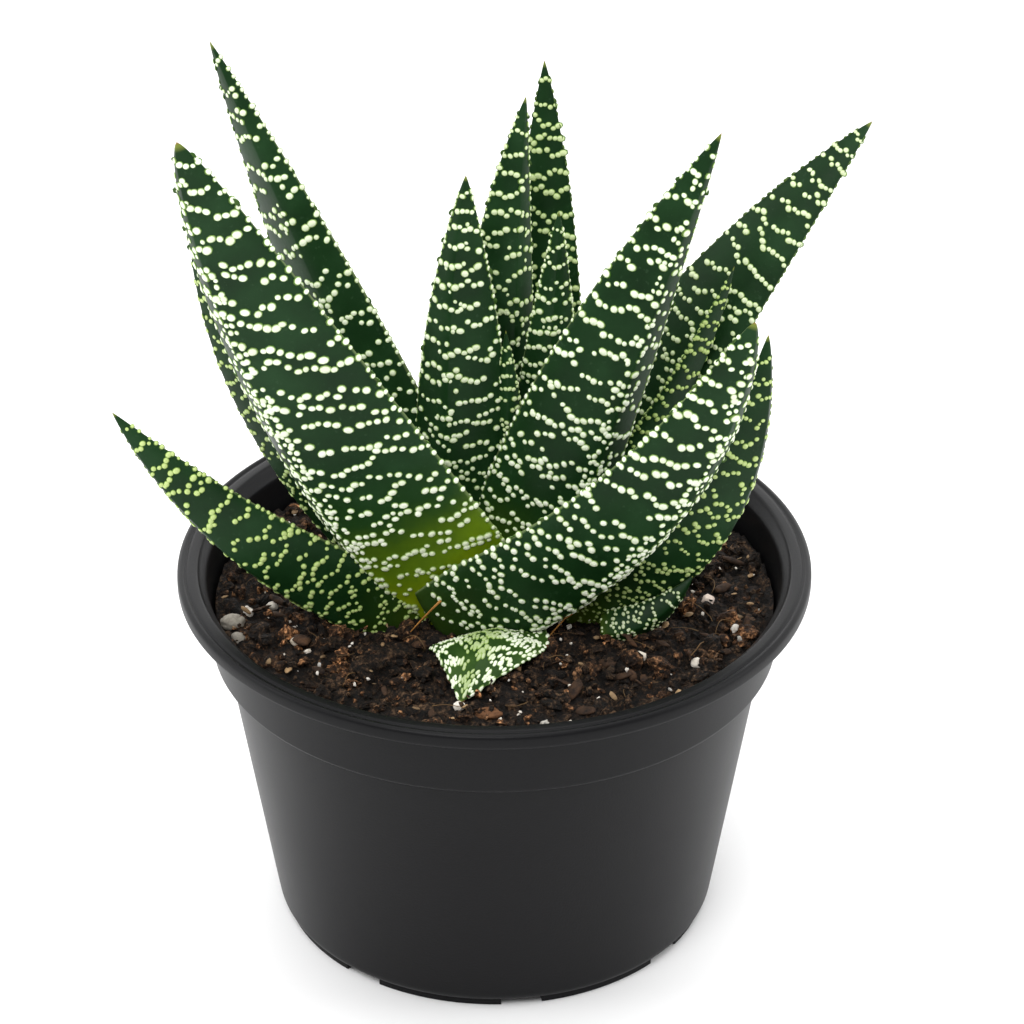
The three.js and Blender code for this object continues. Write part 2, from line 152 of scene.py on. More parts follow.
def leaf_point(leaf, t, across, outer):
    """A point of the leaf's surface, on its outer face or its inner one."""
    centre, _, side, outward = leaf_axes(leaf, t)
    share = width_share(t, leaf["taper"])
    keel = leaf["keel"]
    off = np.where(across > keel, (across - keel) / (1 - keel), (keel - across) / (1 + keel))
    bulge = (1 - np.abs(off) ** KEEL_SHARPNESS) * KEEL_FLANK_SHARE
    bulge += np.sqrt(np.maximum(0, 1 - across ** 2)) * (1 - KEEL_FLANK_SHARE)
    depth = np.where(
        outer,
        leaf["thick"] * (1 - INNER_SWELL) * bulge,
        -leaf["thick"] * INNER_SWELL * (1 - across ** 2),
    )
    return (centre + side * (across * share * leaf["width"] / 2)[..., None]
            + outward * (depth * share)[..., None])


def face_frame(leaf, t, across, outer):
    """Point, outward normal, and the directions across and along the leaf, for its beads."""
    here = leaf_point(leaf, t, across, outer)
    on = leaf_point(leaf, np.minimum(t + STEP_ALONG, 0.999), across, outer)
    back = leaf_point(leaf, np.maximum(t - STEP_ALONG, 0.001), across, outer)
    right = leaf_point(leaf, t, np.minimum(across + STEP_ACROSS, 1), outer)
    left = leaf_point(leaf, t, np.maximum(across - STEP_ACROSS, -1), outer)
    along = unit(on - back)
    over = unit(right - left)
    normal = unit(np.cross(over, along))
    _, _, _, outward = leaf_axes(leaf, t)
    want = np.where(np.asarray(outer)[..., None], outward, -outward)
    flip = np.sign(np.sum(normal * want, -1, keepdims=True))
    normal = normal * np.where(flip == 0, 1, flip)
    return here, normal, over, along


# ---------- meshes ----------

def make_object(name, verts, faces, material, attributes=None, smooth=True):
    """A mesh object from arrays in millimetres; faces is a list of index arrays by size."""
    mesh = bpy.data.meshes.new(name)
    verts = np.asarray(verts, float) * MM
    loops = np.concatenate([f.reshape(-1) for f in faces])
    sizes = np.concatenate([np.full(len(f), f.shape[1]) for f in faces])
    starts = np.concatenate([[0], np.cumsum(sizes)[:-1]])
    mesh.vertices.add(len(verts))
    mesh.vertices.foreach_set("co", verts.reshape(-1))
    mesh.loops.add(len(loops))
    mesh.loops.foreach_set("vertex_index", loops.astype(np.int32))
    mesh.polygons.add(len(sizes))
    mesh.polygons.foreach_set("loop_start", starts.astype(np.int32))
    mesh.polygons.foreach_set("loop_total", sizes.astype(np.int32))
    mesh.update(calc_edges=True)
    mesh.polygons.foreach_set("use_smooth", np.full(len(sizes), smooth))
    for key, values in (attributes or {}).items():
        layer = mesh.attributes.new(key, "FLOAT", "POINT")
        layer.data.foreach_set("value", np.asarray(values, np.float32))
    mesh.materials.append(material)
    mesh.validate()
    obj = bpy.data.objects.new(name, mesh)
    bpy.context.scene.collection.objects.link(obj)
    return obj


def ring_faces(rows, columns):
    """The quads between closed rings of points."""
    i = np.arange(rows - 1)[:, None] * columns
    a = np.arange(columns)[None]
    b = (a + 1) % columns
    return np.stack([i + a, i + b, i + columns + b, i + columns + a], -1).reshape(-1, 4)


def end_caps(rows, columns):
    """Fans that close the first and last ring, round the two points that follow the rings."""
    a = np.arange(columns)
    b = (a + 1) % columns
    start = rows * columns
    last = start - columns
    return np.concatenate([
        np.stack([np.full(columns, start), b, a], -1),
        np.stack([np.full(columns, start + 1), last + a, last + b], -1),
    ])


# A bead's rings: height, radius and how far up the rise from skin to bead each one is.
BEAD_RINGS = [(-0.45, 1.32, 0.0), (0.10, 1.14, 0.15), (0.50, 0.88, 0.6), (0.86, 0.5, 0.95)]


BEAD_SIDES = 7
BEAD_FOOT = -0.6  # the centre of its underside, below the skin


def unit_dome(sides=BEAD_SIDES):
    """A bead: a closed dome, its foot sunk below the surface. Returns verts, tris, rise."""
    verts = [(0, 0, BEAD_FOOT)]
    rise = [0.0]
    for k, (z, r, level) in enumerate(BEAD_RINGS):
        for i in range(sides):
            a = 2 * math.pi * (i + 0.5 * (k % 2)) / sides
            verts.append((r * math.cos(a), r * math.sin(a), z))
            rise.append(level)
    verts.append((0, 0, 1.0))
    rise.append(1.0)
    tris = []
    for i in range(sides):
        j = (i + 1) % sides
        tris.append((0, 1 + j, 1 + i))
        for k in range(len(BEAD_RINGS) - 1):
            a, b = 1 + k * sides + i, 1 + k * sides + j
            c, d = a + sides, b + sides
            if k % 2 == 0:
                tris += [(a, b, c), (b, d, c)]
            else:
                tris += [(a, b, d), (a, d, c)]
        top = 1 + (len(BEAD_RINGS) - 1) * sides
        tris.append((top + i, top + j, len(verts) - 1))
    return np.array(verts, float), np.array(tris, np.int32), np.array(rise)


DOME = unit_dome()


def stamp(template, centres, axes, sizes):
    """Copies of a template shape: axes is (n, 3, 3) rows of x, y, z directions, sizes (n, 3)."""
    verts, tris = template[0], template[1]
    scaled = verts[None] * sizes[:, None, :]
    placed = centres[:, None, :] + np.einsum("nvk,nkj->nvj", scaled, axes)
    offset = (np.arange(len(centres)) * len(verts))[:, None, None]
    return placed.reshape(-1, 3), (tris[None] + offset).reshape(-1, 3)


# ---------- leaf beads ----------

CROWDED_BELOW = 0.62  # share of the length under which rows close up and break apart
ARC_OVER_CHORD = 1.04  # a leaf's length along its curve, over the straight line
# Shares of the length, from the tip, at which the rows, their beads, the beads on the keel and
# those on the margins stop.
ROWS_END, BEADS_END, KEEL_END, MARGIN_END = 0.97, 0.985, 0.95, 0.96
# How much smaller beads get, and closer their rows, at the base.
BASE_SHRINK, BASE_CLOSING = 0.32, 0.62
# How large beads are at the tip, and the distance from it over which they grow by their own size.
TIP_SHARE, GROW_OVER = 0.65, 50
# A row's waves: how often each swings over half the width, and how far.
ROW_WAVES = ((2.4, 0.8), (6.5, 0.6), (13, 0.4))
KEEL_COLUMNS = 4
KEEL_COLUMN_PITCH = 2.1
MARGIN = 0.99  # how far across the leaf the beads of its margins sit


def bead_layout(leaf, outer, rng):
    """Beads of one face, as arrays of t, across, diameter and stretch."""
    out = []
    length = np.linalg.norm(np.subtract(leaf["tip"], leaf["base"])) * ARC_OVER_CHORD
    keel = leaf["keel"]
    sparse = 1.0 if outer else leaf["inner"]

    def width_at(t):
        return max(1.0, leaf["width"] * float(width_share(np.array(t), leaf["taper"])))

    distance = leaf["bare"] + rng.uniform(0, 1)
    while distance < length * ROWS_END:
        t = 1 - distance / length
        width = width_at(t)
        closing = float(np.clip((CROWDED_BELOW - t) / CROWDED_BELOW, 0, 1))
        size = leaf["bead"] * (1 - BASE_SHRINK * closing)
        size *= min(1, TIP_SHARE + distance / GROW_OVER)
        phase = rng.uniform(0, 2 * math.pi, 3)
        wave = min(1.35, 0.05 * width + 0.2)
        slope = rng.normal(0, 0.35)
        jitter = 0.26 + 0.45 * closing
        a = -1 + rng.uniform(0.02, 0.14)
        run = int(rng.integers(3, 9))
        shift = rng.normal(0, 0.3)
        while a < 0.98:
            pitch = size * rng.uniform(0.84, 1.02) * (1 + 0.3 * closing)
            sway = 0.0
            for (often, far), start in zip(ROW_WAVES, phase):
                sway += far * math.sin(often * a + start)
            sway *= wave
            near = math.exp(-((a - keel) / 0.4) ** 2) * min(1, width / 16)
            bend = leaf["flow"] * near if outer else 0
            slant = leaf["slant"] * a * min(1, width / 20) if outer else 0
            d = distance - bend + slant + slope * a + sway + shift + rng.normal(0, jitter)
            if leaf["bare"] < d < length * BEADS_END:
                grown = size * rng.uniform(0.72, 1.12)
                out.append((1 - d / length, a, grown, rng.uniform(1.0, 1.35)))
            a += 2 * pitch / width
            run -= 1
            if run <= 0:
                a += 2 * size * rng.uniform(0.05, 1.2) / width
                run = int(rng.integers(2, 8))
                shift = rng.normal(0, 0.75)
        closer = 1 - BASE_CLOSING * closing
        distance += sparse * leaf["rows"] * closer * rng.uniform(0.78, 1.22)
    if outer:
        # beads crowd along the keel
        for column in range(KEEL_COLUMNS):
            aside = (column - (KEEL_COLUMNS - 1) / 2) * KEEL_COLUMN_PITCH
            d = leaf["bare"] * rng.uniform(1.5, 3)
            while d < length * KEEL_END:
                t = 1 - d / length
                a = keel + aside / width_at(t) + rng.normal(0, 0.015)
                share = leaf["ridge"] * min(1, 0.35 + 1.1 * (1 - t))
                if abs(a) < 0.97 and rng.random() < share:
                    size = leaf["bead"] * rng.uniform(0.6, 0.95)
                    out.append((t, a, size, rng.uniform(0.75, 1.0)))
                d += leaf["bead"] * rng.uniform(0.9, 1.35)
        # and a string of small ones stands out from each margin
        for edge in (-1, 1):
            d = leaf["bare"] + rng.uniform(0, 1)
            while d < length * MARGIN_END:
                size = leaf["bead"] * rng.uniform(0.55, 0.9)
                out.append((1 - d / length, edge * MARGIN, size, rng.uniform(0.8, 1.1)))
                d += leaf["bead"] * rng.uniform(1.0, 2.2)
    return np.array(out)


LEAF_RINGS = 110
LEAF_FLANK = 11  # steps from a margin to the keel
INNER_STEPS = LEAF_FLANK + 4
CROWDED_RINGS = 1.15  # over 1, the rings stand closer together towards the tip
END_SQUEEZE = 0.02
BEAD_HEIGHT = 0.55  # over its half width
BEAD_TURN = 0.35


def leaf_object(leaf, material, rng):
    """A leaf's skin and all its beads, as one mesh."""
    rings = LEAF_RINGS
    t = 1 - (1 - np.linspace(0, 1, rings)) ** CROWDED_RINGS
    t[0], t[-1] = 0.0, 1.0
    u = 0.5 - 0.5 * np.cos(np.linspace(0, math.pi, LEAF_FLANK + 1))
    right = 1 + (leaf["keel"] - 1) * u
    left = leaf["keel"] + (-1 - leaf["keel"]) * u
    outer_a = np.concatenate([right, left[1:]])
    inner_a = -np.cos(np.linspace(0, math.pi, INNER_STEPS + 1))[1:-1]
    across = np.concatenate([outer_a, inner_a])
    outer = np.concatenate([np.ones(len(outer_a), bool), np.zeros(len(inner_a), bool)])
    grid_t, grid_a = np.meshgrid(t, across, indexing="ij")
    grid_outer = np.broadcast_to(outer, grid_t.shape)
    body = leaf_point(leaf, grid_t, grid_a, grid_outer)
    n = len(across)
    quads = ring_faces(rings, n)
    # the two ends are single points: their rings are squeezed to almost nothing and capped
    centre, _, _, _ = leaf_axes(leaf, t)
    for end in (0, -1):
        body[end] = centre[end] + (body[end] - centre[end]) * END_SQUEEZE
    verts = np.concatenate([body.reshape(-1, 3), centre[:1], centre[-1:]])
    caps = end_caps(rings, n)
    count = len(verts)
    rise = np.full(count, -1.0)
    along = np.concatenate([grid_t.reshape(-1), [0.0, 1.0]])
    edge = np.concatenate([np.abs(grid_a).reshape(-1), [0.0, 0.0]])
    tone = np.zeros(count)

    parts_v, parts_f = [verts], [caps]
    all_rise, all_along, all_edge, all_tone = [rise], [along], [edge], [tone]
    start = count
    for is_outer in (True, False):
        beads = bead_layout(leaf, is_outer, rng)
        flags = np.full(len(beads), is_outer)
        where, normal, over, ahead = face_frame(leaf, beads[:, 0], beads[:, 1], flags)
        turn = rng.normal(0, BEAD_TURN, len(beads))[:, None]
        if leaf["streak"]:
            turn = turn * 0.5 + math.pi / 2
            beads[:, 3] = leaf["streak"] * rng.uniform(0.6, 1.2, len(beads))
        x = unit(over * np.cos(turn) + ahead * np.sin(turn))
        x = unit(x - normal * np.sum(x * normal, -1, keepdims=True))
        y = np.cross(normal, x)
        half = beads[:, 2] / 2
        sizes = np.stack([half * beads[:, 3], half, half * BEAD_HEIGHT], -1)
        bv, bf = stamp(DOME, where, np.stack([x, y, normal], 1), sizes)
        parts_v.append(bv)
        parts_f.append(bf + start)
        start += len(bv)
        per = len(DOME[0])
        all_rise.append(np.tile(DOME[2], len(beads)))
        all_along.append(np.repeat(beads[:, 0], per))
        all_edge.append(np.repeat(np.abs(beads[:, 1]), per))
        all_tone.append(np.repeat(rng.uniform(0, 1, len(beads)), per))
    tris = np.concatenate(parts_f)
    return make_object(
        leaf["name"] + "_skin", np.concatenate(parts_v), [quads, tris], material,
        dict(
            rise=np.concatenate(all_rise), along=np.concatenate(all_along),
            edge=np.concatenate(all_edge), tone=np.concatenate(all_tone),
        ),
    )


# ---------- materials ----------

class Nodes:
    """Short hand for building a node tree."""

    def __init__(self, name):
        self.material = bpy.data.materials.new(name)
        self.material.use_nodes = True
        self.tree = self.material.node_tree
        self.tree.nodes.clear()
        self.out = self.add("ShaderNodeOutputMaterial")
        self.shader = self.add("ShaderNodeBsdfPrincipled")
        self.link(self.shader.outputs[0], self.out.inputs[0])

    def add(self, kind, **settings):
        node = self.tree.nodes.new(kind)
        for key, value in settings.items():
            setattr(node, key, value)
        return node

    def link(self, a, b):
        self.tree.links.new(a, b)

    def put(self, value, socket):
        if isinstance(value, bpy.types.NodeSocket):
            self.link(value, socket)
        else:
            socket.default_value = value

    def attribute(self, name):
        return self.add("ShaderNodeAttribute", attribute_name=name).outputs["Fac"]

    def noise(self, scale, detail=3.0, roughness=0.5, where=None):
        node = self.add("ShaderNodeTexNoise")
        node.inputs["Scale"].default_value = scale
        node.inputs["Detail"].default_value = detail
        node.inputs["Roughness"].default_value = roughness
        self.link(where if where is not None else self.position(), node.inputs["Vector"])
        return node.outputs["Fac"]

    def position(self):
        return self.add("ShaderNodeTexCoord").outputs["Object"]

    def ramp(self, value, stops):
        node = self.add("ShaderNodeValToRGB")
        elements = node.color_ramp.elements
        while len(elements) > 1:
            elements.remove(elements[-1])
        elements[0].position = stops[0][0]
        elements[0].color = (*stops[0][1], 1)
        for place, colour in stops[1:]:
            element = elements.new(place)
            element.color = (*colour, 1)
        self.link(value, node.inputs[0])
        return node.outputs[0]

    def map(self, value, low, high, to_low=0.0, to_high=1.0):
        node = self.add("ShaderNodeMapRange")
        for socket, number in zip(node.inputs[1:5], (low, high, to_low, to_high)):
            socket.default_value = number
        self.link(value, node.inputs[0])
        return node.outputs[0]

    def math(self, operation, a, b=0.0):
        node = self.add("ShaderNodeMath", operation=operation)
        self.put(a, node.inputs[0])
        self.put(b, node.inputs[1])
        return node.outputs[0]

    def mix(self, factor, a, b, blend="MIX"):
        node = self.add("ShaderNodeMix", data_type="RGBA", blend_type=blend)
        self.put(factor, node.inputs[0])
        self.put((*a, 1) if isinstance(a, tuple) else a, node.inputs[6])
        self.put((*b, 1) if isinstance(b, tuple) else b, node.inputs[7])
        return node.outputs[2]

    def bump(self, height, strength, distance):
        node = self.add("ShaderNodeBump")
        node.inputs["Strength"].default_value = strength
        node.inputs["Distance"].default_value = distance
        self.link(height, node.inputs["Height"])
        self.link(node.outputs[0], self.shader.inputs["Normal"])


def leaf_material(name, white, young_share, pale):
    """Skin and beads in one material, told apart by the attribute rise."""
    m = Nodes(name)
    rise, along = m.attribute("rise"), m.attribute("along")
    edge, tone = m.attribute("edge"), m.attribute("tone")
    mottle = m.noise(90, 4, 0.55)
    fine = m.noise(1100, 2, 0.5)
    skin = m.ramp(mottle, [
        (0.25, (0.003, 0.018, 0.0035)), (0.5, (0.0055, 0.029, 0.006)),
        (0.75, (0.011, 0.044, 0.012)),
    ])
    speck = m.map(fine, 0.64, 0.74)
    skin = m.mix(m.math("MULTIPLY", speck, 0.22), skin, (0.05, 0.10, 0.05))
    # yellow-green towards the base, which is young
    reach = 0.07 * young_share
    wobble = m.math("ADD", along, m.map(mottle, 0.3, 0.7, -0.03 - reach, 0.03 - reach))
    young = m.ramp(wobble, [
        (0.02, (0.32, 0.42, 0.006)), (0.10, (0.14, 0.24, 0.004)), (0.22, (0.014, 0.055, 0.004)),
    ])
    skin = m.mix(m.math("MULTIPLY", m.map(wobble, 0.05, 0.30, 1.0, 0.0), young_share), skin, young)
    pale_skin = m.ramp(mottle, [(0.35, (0.016, 0.055, 0.006)), (0.65, (0.10, 0.19, 0.02))])
    skin = m.mix(pale, skin, pale_skin)
    # pale horny line along each margin
    line = m.map(edge, 0.972, 1.0)
    skin = m.mix(m.math("MULTIPLY", line, 0.6), skin, (0.25, 0.33, 0.13))
    # a bead is green at its foot, then cream to white on top
    green, cream = np.array((0.42, 0.56, 0.10)), np.array((0.88, 0.92, 0.78))
    top = tuple(green * (1 - white) + cream * white)
    foot = tuple(np.array((0.03, 0.085, 0.008)) * (1 + 0.6 * white))
    half_way = tuple(0.55 * np.array(top) * np.array((0.75, 1.0, 0.45)))
    bead = m.ramp(rise, [(0.0, foot), (0.22, foot), (0.42, half_way), (0.66, top), (1.0, top)])
    bead = m.mix(m.map(tone, 0.0, 1.0, 0.0, 0.25), bead, (0.36, 0.48, 0.13))
    # beads are greener near a young base, and in the middle of a pale leaf
    low_down = m.map(along, 0.08, 0.26, 0.6 * young_share, 0.0)
    bead = m.mix(low_down, bead, (0.36, 0.48, 0.10))
    middle = m.map(edge, 0.2, 0.55, min(1, 2.5 * pale), 0.0)
    bead = m.mix(middle, bead, (0.26, 0.38, 0.08))
    is_bead = m.map(rise, -0.1, 0.12)
    colour = m.mix(is_bead, skin, bead)
    # the point is straw yellow, then brown
    colour = m.mix(m.map(along, 0.984, 0.993), colour, (0.16, 0.20, 0.035))
    colour = m.mix(m.map(along, 0.995, 0.999), colour, (0.30, 0.17, 0.05))
    m.link(colour, m.shader.inputs["Base Color"])
    m.link(m.map(mottle, 0.3, 0.7, 0.38, 0.5), m.shader.inputs["Roughness"])
    m.shader.inputs["Specular IOR Level"].default_value = 0.14
    m.bump(m.math("ADD", mottle, m.math("MULTIPLY", fine, 0.3)), 0.22, 0.0004)
    return m.material


def soil_material():
    m = Nodes("peat")
    tone = m.attribute("tone")
    grain = m.noise(480, 5, 0.7)
    grit = m.noise(1500, 3, 0.6)
    coarse = m.noise(130, 3, 0.5)
    both = m.math("ADD", m.math("MULTIPLY", grain, 0.6), m.math("MULTIPLY", grit, 0.4))
    base = m.ramp(both, [
        (0.38, (0.0018, 0.0012, 0.001)), (0.48, (0.010, 0.006, 0.0035)),
        (0.54, (0.05, 0.029, 0.016)), (0.62, (0.23, 0.145, 0.085)),
    ])
    base = m.mix(m.map(coarse, 0.45, 0.65, 0.0, 0.6), base, (0.006, 0.004, 0.003))
    tint = m.ramp(tone, [
        (0.0, (0.35, 0.32, 0.3)), (0.35, (0.9, 0.85, 0.8)),
        (0.65, (2.2, 1.75, 1.4)), (1.0, (5.5, 4.2, 3.1)),
    ])
    m.link(m.mix(1.0, base, tint, "MULTIPLY"), m.shader.inputs["Base Color"])
    m.shader.inputs["Roughness"].default_value = 0.8
    m.shader.inputs["Specular IOR Level"].default_value = 0.25
    m.bump(both, 1.0, 0.0018)
    return m.material


def plain_material(name, dark, light, scale, roughness, bump=0.3):
    """A grainy surface between two colours, darker or lighter by the attribute tone."""
    m = Nodes(name)
    grain = m.noise(scale, 4, 0.6)
    tone = m.attribute("tone")
    colour = m.ramp(grain, [(0.3, dark), (0.7, light)])
    shade = m.ramp(tone, [(0.0, (0.6, 0.6, 0.6)), (1.0, (1.15, 1.1, 1.05))])
    m.link(m.mix(1.0, colour, shade, "MULTIPLY"), m.shader.inputs["Base Color"])
    m.shader.inputs["Roughness"].default_value = roughness
    m.shader.inputs["Specular IOR Level"].default_value = 0.3
    m.bump(grain, bump, 0.0005)
    return m.material


def pot_material():
    m = Nodes("black_plastic")
    cloud = m.noise(14, 3, 0.5)
    fine = m.noise(2600, 2, 0.5)
    colour = m.ramp(cloud, [(0.3, (0.0042, 0.0042, 0.0048)), (0.7, (0.0062, 0.0062, 0.0070))])
    m.link(colour, m.shader.inputs["Base Color"])
    m.link(m.map(cloud, 0.3, 0.7, 0.36, 0.44), m.shader.inputs["Roughness"])
    m.shader.inputs["Specular IOR Level"].default_value = 0.125
    m.bump(fine, 0.12, 0.0002)
    return m.material


# ---------- pot ----------

POT_PROFILE = [
    (0, 1.2), (39.8, 1.2), (40.9, 1.3), (41.8, 1.75), (42.35, 2.6), (42.55, 3.6),
    (51.15, 56.1), (51.35, 56.7), (51.9, 57.1), (53.3, 57.35), (53.7, 57.7), (53.78, 58.3),
    (55.35, 71.6), (55.6, 72.3), (56.3, 72.6), (58.4, 72.6), (58.9, 72.3), (59.1, 71.7),
    (59.15, 71.2), (59.4, 71.1), (59.8, 71.12), (60.0, 71.3), (60.0, 72.9), (59.9, 73.4),
    (59.6, 73.78), (59.2, 73.97), (58.85, 73.9), (58.6, 73.68), (58.4, 73.62), (58.2, 73.75),
    (58.0, 73.92), (56.6, 73.92), (56.3, 73.85), (56.05, 73.6), (55.9, 73.3), (54.6, 72.0),
    (54.35, 71.4), (52.8, 58.9), (52.6, 58.4), (51.9, 57.9), (50.6, 57.6), (50.35, 57.2),
    (41.6, 4.6), (41.3, 3.6), (40.6, 2.8), (39.8, 2.45), (0, 2.4),
]


def lathe(profile, segments):
    """A closed body of revolution whose profile starts and ends on the axis."""
    inner = np.array(profile[1:-1], float)
    angle = np.linspace(0, 2 * math.pi, segments, endpoint=False)
    x = inner[:, :1] * np.cos(angle)
    y = inner[:, :1] * np.sin(angle)
    z = np.broadcast_to(inner[:, 1:], x.shape)
    verts = np.stack([x, y, z], -1).reshape(-1, 3)
    verts = np.concatenate([verts, [(0, 0, profile[0][1]), (0, 0, profile[-1][1])]])
    return verts, [ring_faces(len(inner), segments), end_caps(len(inner), segments)]


POT_SEGMENTS = 180
CORNER_SHARE = 0.25  # a corner is cut back by this share of its side
CORNER_CUT = 0.6  # and by this many millimetres at most


def rounded(profile):
    """The same profile with its corners cut, so that highlights run round them softly."""
    points = [np.array(p, float) for p in profile]
    fresh = [points[0]]
    for a, b, c in zip(points, points[1:], points[2:]):
        for other in (a, c):
            reach = min(CORNER_SHARE, CORNER_CUT / max(np.linalg.norm(other - b), 1e-6))
            fresh.append(b + (other - b) * reach)
    return [tuple(p) for p in fresh + [points[-1]]]


pot_mat = pot_material()
pot_verts, pot_faces = lathe(rounded(POT_PROFILE), POT_SEGMENTS)
pot = make_object("nursery_pot", pot_verts, pot_faces, pot_mat)

# drain holes through its floor
DRAIN_HOLES = 6
DRAIN_RADIUS = 4
DRAIN_PITCH_RADIUS = 27
DRILL_REACH = (-3, 6)
DRILL_SEGMENTS = 32
drill_profile = [
    (0, DRILL_REACH[0]), (DRAIN_RADIUS, DRILL_REACH[0]), (DRAIN_RADIUS, DRILL_REACH[1]),
    (0, DRILL_REACH[1]),
]
drill_verts, drill_faces = [], []
for k in range(DRAIN_HOLES):
    angle = 2 * math.pi * k / DRAIN_HOLES
    verts, faces = lathe(drill_profile, DRILL_SEGMENTS)
    shift = (DRAIN_PITCH_RADIUS * math.cos(angle), DRAIN_PITCH_RADIUS * math.sin(angle), 0)
    drill_faces += [f + sum(len(v) for v in drill_verts) for f in faces]
    drill_verts.append(verts + shift)
drill = make_object("drain_drill", np.concatenate(drill_verts), drill_faces, pot_mat)
cut = pot.modifiers.new("drain_holes", "BOOLEAN")
cut.operation = "DIFFERENCE"
cut.solver = "EXACT"
cut.object = drill
drilled = bpy.data.meshes.new_from_object(
    pot.evaluated_get(bpy.context.evaluated_depsgraph_get())
)
pot.modifiers.clear()
pot.data = drilled
bpy.data.objects.remove(drill)
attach(pot, "root")
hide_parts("pot")

# the feet that it stands on
FEET = 8
FOOT_ARC = 34
FOOT_FIRST = -122.5
FOOT_RADII = (38.4, 41.2)
FOOT_TOP = 1.5
FOOT_EDGE = (0.2, 0.15)  # how far its lower edges are cut, inwards and upwards
FOOT_STEPS = 13
foot_section = [
    (FOOT_RADII[0], FOOT_TOP), (FOOT_RADII[0], FOOT_EDGE[1]), (FOOT_RADII[0] + FOOT_EDGE[0], 0),
    (FOOT_RADII[1] - FOOT_EDGE[0], 0), (FOOT_RADII[1], FOOT_EDGE[1]), (FOOT_RADII[1], FOOT_TOP),
]
foot_verts, foot_quads = [], []
for k in range(FEET):
    angles = np.radians(FOOT_FIRST + k * 360 / FEET + np.linspace(0, FOOT_ARC, FOOT_STEPS))
    start = sum(len(v) for v in foot_verts)
    rows = [[(r * math.cos(a), r * math.sin(a), z) for r, z in foot_section] for a in angles]
    foot_verts.append(np.array(rows).reshape(-1, 3))
    n = len(foot_section)
    foot_quads.append(ring_faces(len(angles), n) + start)
    first_end = list(range(n))
    last_end = [(len(angles) - 1) * n + q for q in reversed(range(n))]
    for end in (first_end, last_end):
        for corners in ((0, 1, 4, 5), (1, 2, 3, 4)):
            foot_quads.append(np.array([[start + end[corner] for corner in corners]]))
feet = make_object(
    "pot_feet", np.concatenate(foot_verts), [np.concatenate(foot_quads)], pot_mat, smooth=False,
)
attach(feet, "root")

# ---------- soil ----------

SOIL_EDGE_Z = 65.6
SOIL_CROWN = 1.6
SOIL_LUMP = 0.7
WALL_TOP_RADIUS = 51.4
SOIL_RADIUS = 53.0
BED_RINGS, BED_AROUND = 120, 300
BED_MIDDLE = 0.4  # radius of its innermost ring
# The bed's low tone darkens the whole bed: painted shade for the gaps between the clods that lie on it.
BED_PAINTED_SHADE_TONE = 0.1
BED_FLOOR_Z = 2.8
# Its side and underside follow the inside of the pot.
BED_SIDE = [(52.6, 63.0), (52.0, 59.4), (49.8, 57.4), (41.0, 5.4), (39.0, BED_FLOOR_Z)]


def soil_height(x, y):
    """The soil's smooth height, on which everything lies."""
    out = np.minimum(1, np.hypot(x, y) / WALL_TOP_RADIUS)
    lumps = np.sin(x * 0.41 + 1.3) * np.cos(y * 0.37 - 0.6) + np.sin(x * 0.19 - y * 0.23)
    return SOIL_EDGE_Z + SOIL_CROWN * (1 - out * out) + SOIL_LUMP * 0.5 * lumps * (1 - out ** 4)


def roughness_at(x, y):
    """How far the bed's top is above or below its smooth height: swells, ridges and grit."""
    swell = 1.2 * noise.fractal(Vector((x * 0.16, y * 0.16, 3.1)), 1.0, 2.0, 3)
    ridge = 1.5 * (abs(noise.noise(Vector((x * 0.42, y * 0.42, 9.7)))) - 0.25)
    grit = 0.7 * noise.noise(Vector((x * 1.1, y * 1.1, 4.2)))
    return swell + ridge + grit


def soil_object(material):
    """The bed of soil: a rough top, and a plain side and underside in the pot."""
    radius = np.linspace(BED_MIDDLE, SOIL_RADIUS, BED_RINGS)
    angle = np.linspace(0, 2 * math.pi, BED_AROUND, endpoint=False)
    x = radius[:, None] * np.cos(angle)
    y = radius[:, None] * np.sin(angle)
    rough = [roughness_at(px, py) for px, py in zip(x.ravel(), y.ravel())]
    z = soil_height(x, y) + np.array(rough).reshape(x.shape)
    rows = [np.stack([x, y, z], -1).reshape(-1, 3)]
    for r, height in BED_SIDE:
        rows.append(np.stack([r * np.cos(angle), r * np.sin(angle), np.full(BED_AROUND, height)], -1))
    verts = np.concatenate(rows + [[(0, 0, z[0].mean()), (0, 0, BED_FLOOR_Z)]])
    ring_count = BED_RINGS + len(BED_SIDE)
    faces = ring_faces(ring_count, BED_AROUND)
    caps = end_caps(ring_count, BED_AROUND)
    # painted shade: the bed is darker everywhere, so the gaps between the clods look shaded
    tone = np.full(len(verts), BED_PAINTED_SHADE_TONE)
    # the rings run from the axis out, so the faces are turned over
    return make_object("soil_bed", verts, [faces[:, ::-1], caps[:, [0, 2, 1]]], material, dict(tone=tone))


def ball(level):
    """A unit sphere of even triangles, as arrays."""
    mesh = bmesh.new()
    bmesh.ops.create_icosphere(mesh, subdivisions=level, radius=1.0)
    verts = np.array([v.co[:] for v in mesh.verts])
    tris = np.array([[v.index for v in f.verts] for f in mesh.faces], np.int32)
    mesh.free()
    return verts, tris


COARSE_BALL, FINE_BALL, STONE_BALL = ball(2), ball(3), ball(4)


def random_axes(rng, count, flat=0.0):
    """Random right-handed frames. flat near 1 keeps the third axis close to upright."""
    up = rng.normal(0, 1, (count, 3)) * (1 - flat)
    up[:, 2] = np.abs(up[:, 2]) + flat * 1.5 + 0.05
    up = unit(up)
    other = unit(rng.normal(0, 1, (count, 3)))
    x = unit(np.cross(other, up))
    return np.stack([x, np.cross(up, x), up], 1)


